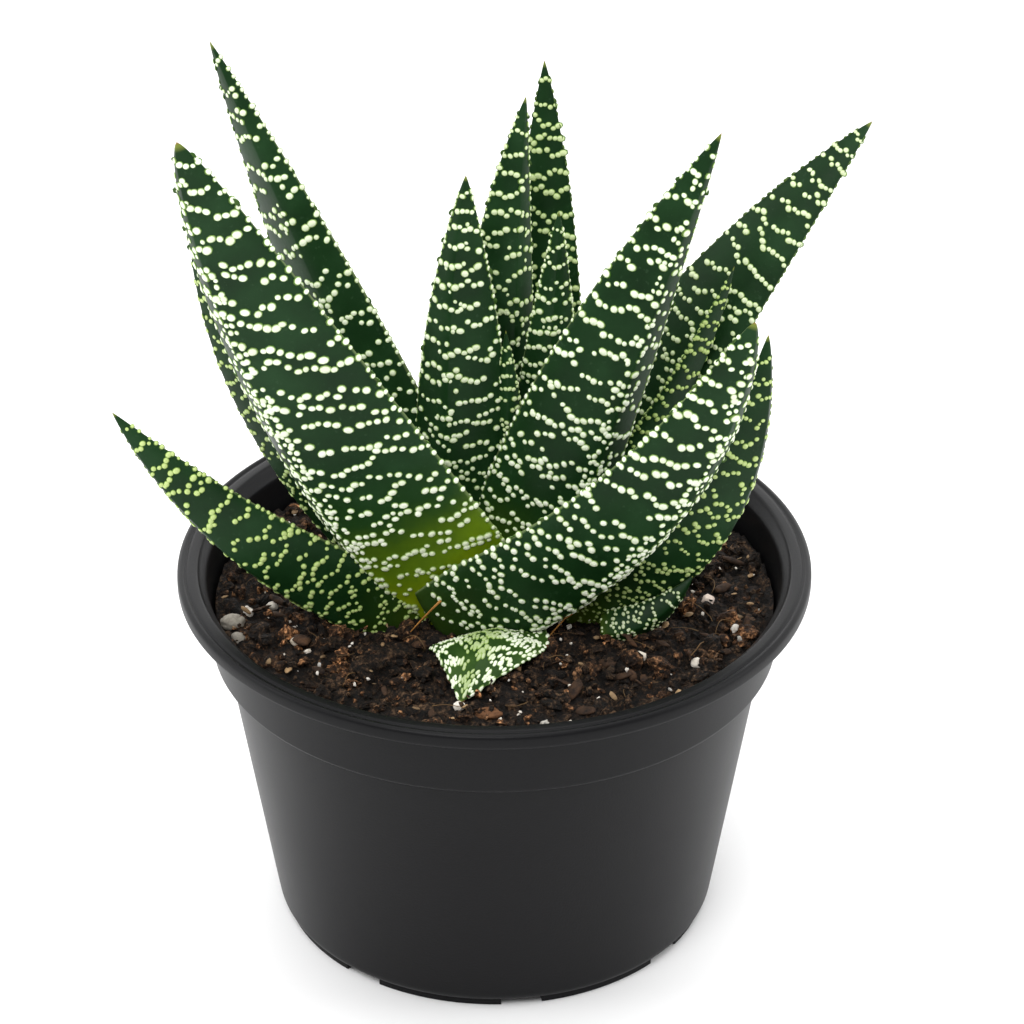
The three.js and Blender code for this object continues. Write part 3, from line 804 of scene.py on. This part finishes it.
def lumps_object(name, places, sizes, axes, tones, material, rng, jag, template, smooth):
    """Many small irregular bodies in one mesh. jag is how rough they are."""
    count = len(places)
    verts, tris = template
    bumps = np.ones((count, len(verts)))
    for octave, strength in ((1.0, 1.0), (2.3, 0.6), (4.9, 0.4)):
        swing = rng.normal(0, 1.9 * octave, (count, 3))
        start = rng.uniform(0, 2 * math.pi, (count, 1))
        bumps += jag * strength * np.sin(swing @ verts.T + start)
    shaped = verts[None] * bumps[..., None] * sizes[:, None, :]
    placed = places[:, None, :] + np.einsum("nvk,nkj->nvj", shaped, axes)
    offset = (np.arange(count) * len(verts))[:, None, None]
    faces = (tris[None] + offset).reshape(-1, 3)
    return make_object(
        name, placed.reshape(-1, 3), [faces], material, dict(tone=np.repeat(tones, len(verts))),
        smooth,
    )


UNDER_ROSETTE = 9  # radius inside which nothing is strewn
BY_WALL = 51.5


def scatter(rng, count, low=UNDER_ROSETTE, high=BY_WALL):
    """Places spread evenly over a ring of soil."""
    radius = np.sqrt(rng.uniform(low ** 2, high ** 2, count))
    angle = rng.uniform(0, 2 * math.pi, count)
    return radius * np.cos(angle), radius * np.sin(angle)


soil_mat = soil_material()
soil = soil_object(soil_mat)
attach(soil, "root")
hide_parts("soil")

# Clods stay clear of the tip of the short front leaf: they are smaller there, and lower.
SHORT_TIP = (-6.3, -37)
SHORT_TIP_REACH = 6.5
SHORT_TIP_SHRINK = 0.6
SHORT_TIP_SINK = 1.2


def strew(name, material, count, size, shape, lift, flat, tone, jag,
          low=UNDER_ROSETTE, template=COARSE_BALL, smooth=True, clear_tip=False):
    """Strews small bodies over the soil.

    size and tone draw a value for each. shape is each side as a share of the size, fixed or a
    range. lift is a height over the soil, then the range of the offset from it.
    """
    x, y = scatter(RNG, count, low)
    sizes = size(count)
    near_tip = np.zeros(count)
    if clear_tip:
        away = np.hypot(x - SHORT_TIP[0], y - SHORT_TIP[1])
        near_tip = np.exp(-((away / SHORT_TIP_REACH) ** 2))
    sizes = sizes * (1 - SHORT_TIP_SHRINK * near_tip)
    shares = [RNG.uniform(*side, count) if isinstance(side, tuple) else np.full(count, side)
              for side in shape]
    z = soil_height(x, y) + lift[0] + RNG.uniform(lift[1], lift[2], count)
    z = z - SHORT_TIP_SINK * near_tip
    axes = random_axes(RNG, count, flat)
    obj = lumps_object(
        name, np.stack([x, y, z], -1), sizes[:, None] * np.stack(shares, -1), axes, tone(count),
        material, RNG, jag, template, smooth,
    )
    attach(obj, "root")


bark_mat = plain_material("bark", (0.010, 0.005, 0.003), (0.085, 0.042, 0.02), 700, 0.8, 0.7)
husk_mat = plain_material("husk", (0.16, 0.095, 0.045), (0.42, 0.29, 0.16), 600, 0.75, 0.5)
perlite_mat = plain_material(
    "perlite_white", (0.50, 0.45, 0.37), (0.86, 0.84, 0.80), 900, 0.75, 0.5,
)

# clods of peat, finer crumbs between them, chips of bark, flakes of husk and perlite
strew(
    "peat_clods", soil_mat, count=430,
    size=lambda n: RNG.uniform(0.8, 2.6, n), shape=((0.8, 1.2), (0.6, 1), (0.5, 0.8)),
    lift=(0, -1.0, 1.0), flat=0.3, tone=lambda n: RNG.beta(1.0, 1.7, n), jag=0.24,
    template=FINE_BALL, smooth=False, clear_tip=True,
)
strew(
    "peat_crumbs", soil_mat, count=1500,
    size=lambda n: RNG.lognormal(-0.6, 0.4, n).clip(0.22, 1.2),
    shape=((0.8, 1.5), (0.6, 1), (0.4, 0.8)),
    lift=(0.7, -0.4, 0.9), flat=0.2, tone=lambda n: RNG.beta(1.1, 1.7, n), jag=0.28, smooth=False,
)
strew(
    "bark_bits", bark_mat, count=110,
    size=lambda n: RNG.uniform(0.8, 2.4, n), shape=(1, (0.3, 0.65), (0.12, 0.28)),
    lift=(1.0, -0.3, 0.9), flat=0.45, tone=lambda n: RNG.uniform(0, 1, n), jag=0.13,
)
strew(
    "husk_flakes", husk_mat, count=90,
    size=lambda n: RNG.uniform(0.4, 1.2, n), shape=(1, (0.4, 0.8), (0.15, 0.4)),
    lift=(1.3, -0.2, 0.7), flat=0.5, tone=lambda n: RNG.uniform(0, 1, n), jag=0.13, low=12,
)
strew(
    "perlite_grains", perlite_mat, count=170,
    size=lambda n: RNG.lognormal(-1.1, 0.5, n).clip(0.14, 0.9),
    shape=(1, (0.5, 1), (0.4, 0.9)),
    lift=(1.3, -0.2, 0.7), flat=0.2, tone=lambda n: RNG.uniform(0, 1, n), jag=0.2, low=12,
    smooth=False,
)


TUBE_TAPER = 0.6
FIBRE_STEPS = 9
FIBRE_REST = 1.4  # height over the soil's smooth height
FIBRE_BOUND = 51  # radius of the ring that fibres stay inside


def tubes_object(name, paths, radii, tones, material, sides=5):
    """Closed tapering tubes along the given paths, in one mesh."""
    all_v, all_f = [], []
    start = 0
    for path, radius in zip(paths, radii):
        path = np.asarray(path, float)
        steps = len(path)
        forward = unit(np.gradient(path, axis=0))
        side = unit(np.cross(forward, (0.1, 0.2, 1.0)))
        up = np.cross(side, forward)
        taper = radius * (1 - TUBE_TAPER * np.linspace(0, 1, steps))[:, None, None]
        angle = np.linspace(0, 2 * math.pi, sides, endpoint=False)[None, :, None]
        round_it = np.cos(angle) * side[:, None] + np.sin(angle) * up[:, None]
        tube = path[:, None] + taper * round_it
        quads = ring_faces(steps, sides)
        all_v.append(np.concatenate([tube.reshape(-1, 3), path[:1], path[-1:]]))
        all_f.append(start + np.concatenate([
            quads[:, [0, 1, 2]], quads[:, [0, 2, 3]], end_caps(steps, sides),
        ]))
        start += steps * sides + 2
    tone = np.concatenate([np.full(len(v), t) for v, t in zip(all_v, tones)])
    return make_object(
        name, np.concatenate(all_v), [np.concatenate(all_f)], material, dict(tone=tone),
    )


def fibre_path(rng, steps=FIBRE_STEPS):
    """The line of one bent fibre lying on the soil."""
    x, y = (float(v[0]) for v in scatter(rng, 1, 11, 49))
    heading = rng.uniform(0, 2 * math.pi)
    bend = rng.normal(0, 0.25)
    length = rng.uniform(3, 9)
    lift = rng.uniform(0.2, 1.2)
    path = []
    for step in range(steps):
        arch = lift * math.sin(math.pi * step / (steps - 1))
        path.append((x, y, float(soil_height(x, y)) + FIBRE_REST + arch))
        x += math.cos(heading) * length / steps
        y += math.sin(heading) * length / steps
        out = max(1.0, math.hypot(x, y) / FIBRE_BOUND)
        x, y = x / out, y / out
        heading += bend + rng.normal(0, 0.16)
    return path


FIBRES = 75
fibre_mat = plain_material("fibre", (0.05, 0.028, 0.012), (0.22, 0.13, 0.05), 300, 0.7, 0.2)
fibres = tubes_object(
    "peat_fibres", [fibre_path(RNG) for _ in range(FIBRES)],
    RNG.uniform(0.06, 0.14, FIBRES), RNG.uniform(0, 1, FIBRES), fibre_mat,
)
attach(fibres, "root")

# two dried strips hang from the base of the rosette to the soil
strip_mat = plain_material("dry_strip", (0.25, 0.10, 0.02), (0.50, 0.24, 0.06), 400, 0.6, 0.2)
STRIP_PATHS = [
    [
        (-10.0, -18.5, 76.5), (-11.6, -18.2, 74.5), (-13.6, -17.4, 71.6), (-15.2, -16.8, 69.2),
        (-16.8, -16.5, 66.8),
    ],
    [
        (15.0, -18.5, 74.0), (13.0, -18.8, 72.6), (11.4, -19.0, 70.6), (10.2, -18.8, 68.8),
        (9.3, -18.4, 66.8),
    ],
]
STRIP_RADII = [0.26, 0.18]
STRIP_TONES = [0.9, 0.4]
strips = tubes_object("dry_strips", STRIP_PATHS, STRIP_RADII, STRIP_TONES, strip_mat)
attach(strips, "root")

# ---------- the larger stones and chips, in place of their plain solids ----------

STONES = {
    "grey_stone": ("grey_stone", (0.20, 0.185, 0.16), (0.42, 0.40, 0.35)),
    "grey_stone_small": ("grey_stone", (0.17, 0.16, 0.14), (0.36, 0.34, 0.30)),
    "perlite_left": ("perlite", (0.50, 0.46, 0.40), (0.80, 0.78, 0.74)),
    "perlite_left_inner": ("perlite", (0.45, 0.42, 0.36), (0.74, 0.72, 0.68)),
    "perlite_front_left": ("perlite", (0.55, 0.46, 0.33), (0.86, 0.82, 0.74)),
    "perlite_front": ("perlite", (0.52, 0.48, 0.42), (0.86, 0.84, 0.80)),
    "perlite_front_right": ("perlite", (0.55, 0.48, 0.38), (0.88, 0.85, 0.78)),
    "perlite_right": ("perlite", (0.48, 0.44, 0.38), (0.80, 0.78, 0.72)),
    "perlite_right_back": ("perlite", (0.50, 0.40, 0.34), (0.78, 0.70, 0.64)),
    "bark_chip_front": ("bark", (0.05, 0.022, 0.010), (0.19, 0.085, 0.035)),
    "bark_chip_right": ("bark", (0.030, 0.014, 0.007), (0.11, 0.050, 0.022)),
}


STONE_ROUGHNESS = 0.16
STONE_TONE = 0.8


def stone_object(node, dark, light):
    """A rough stone, grain or chip in the box of its CAD node."""
    low, high = (np.array(c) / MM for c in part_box(node))
    centre, half = (low + high) / 2, (high - low) / 2
    verts, tris = STONE_BALL
    seed = float(sum(centre))
    shaped = []
    for v in verts:
        place = Vector(v * 1.3) + Vector((seed, 0, 1.7))
        push = 1 + STONE_ROUGHNESS * noise.fractal(place, 1.0, 2.0, 3)
        shaped.append(centre + v * half * push)
    material = plain_material(node + "_surface", dark, light, 700, 0.8, 0.5)
    tone = np.full(len(verts), STONE_TONE)
    obj = make_object(node + "_detailed", np.array(shaped), [tris], material, dict(tone=tone))
    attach(obj, "root")
    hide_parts(node)


for node, (slot_name, dark, light) in STONES.items():
    stone_object(node, dark, light)

# ---------- stem and roots: hidden in the soil, kept with a matt root material ----------

root_mat = plain_material("root_skin", (0.10, 0.070, 0.035), (0.26, 0.19, 0.10), 260, 0.85)
for material_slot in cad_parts["stem_and_roots"].material_slots:
    material_slot.material = root_mat

# ---------- leaves ----------

LEAF_SEED = 100  # each leaf has its own seed, so that a change to one leaves the others alone
for index, leaf in enumerate(LEAVES):
    rng = np.random.default_rng(LEAF_SEED + index)
    surface = leaf_material(leaf["name"] + "_surface", leaf["white"], leaf["young"], leaf["pale"])
    obj = leaf_object(leaf, surface, rng)
    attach(obj, "root")
    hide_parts(leaf["name"])

# ---------- floor, lights and camera ----------

scene = bpy.context.scene

floor_mat = Nodes("studio_floor")
floor_mat.shader.inputs["Base Color"].default_value = (0.93, 0.93, 0.93, 1)
floor_mat.shader.inputs["Roughness"].default_value = 0.9
floor_mat.shader.inputs["Specular IOR Level"].default_value = 0.1
bpy.ops.mesh.primitive_plane_add(size=12, location=(0, 0, 0))
floor = bpy.context.object
floor.name = "studio_floor"
floor.data.materials.append(floor_mat.material)


PLANT = (0, 0, 0.09)


def area_light(name, location, size, power):
    """A white rectangular light that faces the plant."""
    data = bpy.data.lights.new(name, "AREA")
    data.shape = "RECTANGLE"
    data.size, data.size_y = size
    data.energy = power
    obj = bpy.data.objects.new(name, data)
    obj.location = location
    aim = Vector(PLANT) - Vector(location)
    obj.rotation_euler = aim.to_track_quat("-Z", "Y").to_euler()
    scene.collection.objects.link(obj)


area_light("overhead_softbox", (0.0, 0.1, 1.25), (1.2, 1.0), 7.0)
area_light("front_key", (-0.25, -0.85, 1.1), (0.8, 0.5), 8.8)
area_light("left_softbox", (-1.1, -0.1, 0.6), (0.6, 0.8), 4.2)
area_light("right_softbox", (1.1, 0.0, 0.6), (0.6, 0.8), 4.8)

# The room is dim in front, brighter at both sides and brightest behind. Each ramp goes from one
# direction along Y to another, and from one brightness to another.
SIDE_RAMP = (-0.95, -0.2, 0.2, 0.75)
BACK_RAMP = (0.2, 0.8, 0.0, 1.7)
world = bpy.data.worlds.new("studio")
scene.world = world
world.use_nodes = True
tree = world.node_tree
direction = tree.nodes.new("ShaderNodeTexCoord")
split = tree.nodes.new("ShaderNodeSeparateXYZ")
total = tree.nodes.new("ShaderNodeMath")
total.operation = "ADD"
tree.links.new(direction.outputs["Generated"], split.inputs[0])
for ramp, brightness in zip((SIDE_RAMP, BACK_RAMP), total.inputs):
    fade = tree.nodes.new("ShaderNodeMapRange")
    for socket, number in zip(fade.inputs[1:5], ramp):
        socket.default_value = number
    tree.links.new(split.outputs["Y"], fade.inputs[0])
    tree.links.new(fade.outputs[0], brightness)
tree.links.new(total.outputs[0], tree.nodes["Background"].inputs["Strength"])
tree.nodes["Background"].inputs["Color"].default_value = (1, 1, 1, 1)

scene.view_settings.view_transform = "Standard"

# The camera stands in front of the pot and looks down on it by 31 degrees.
CAMERA_ELEVATION = 31.28
CAMERA_DISTANCE = 0.894
AIM_HEIGHT = 0.0845
AIM_TURN = -0.00437
FOCAL_LENGTH = 167.1
SENSOR_WIDTH = 36
camera_data = bpy.data.cameras.new("camera")
camera_data.lens = FOCAL_LENGTH
camera_data.sensor_width = SENSOR_WIDTH
camera = bpy.data.objects.new("camera", camera_data)
tilt = math.radians(CAMERA_ELEVATION)
camera.location = (
    0, -CAMERA_DISTANCE * math.cos(tilt), AIM_HEIGHT + CAMERA_DISTANCE * math.sin(tilt),
)
camera.rotation_euler = (math.pi / 2 - tilt, 0, AIM_TURN)
scene.collection.objects.link(camera)
scene.camera = camera
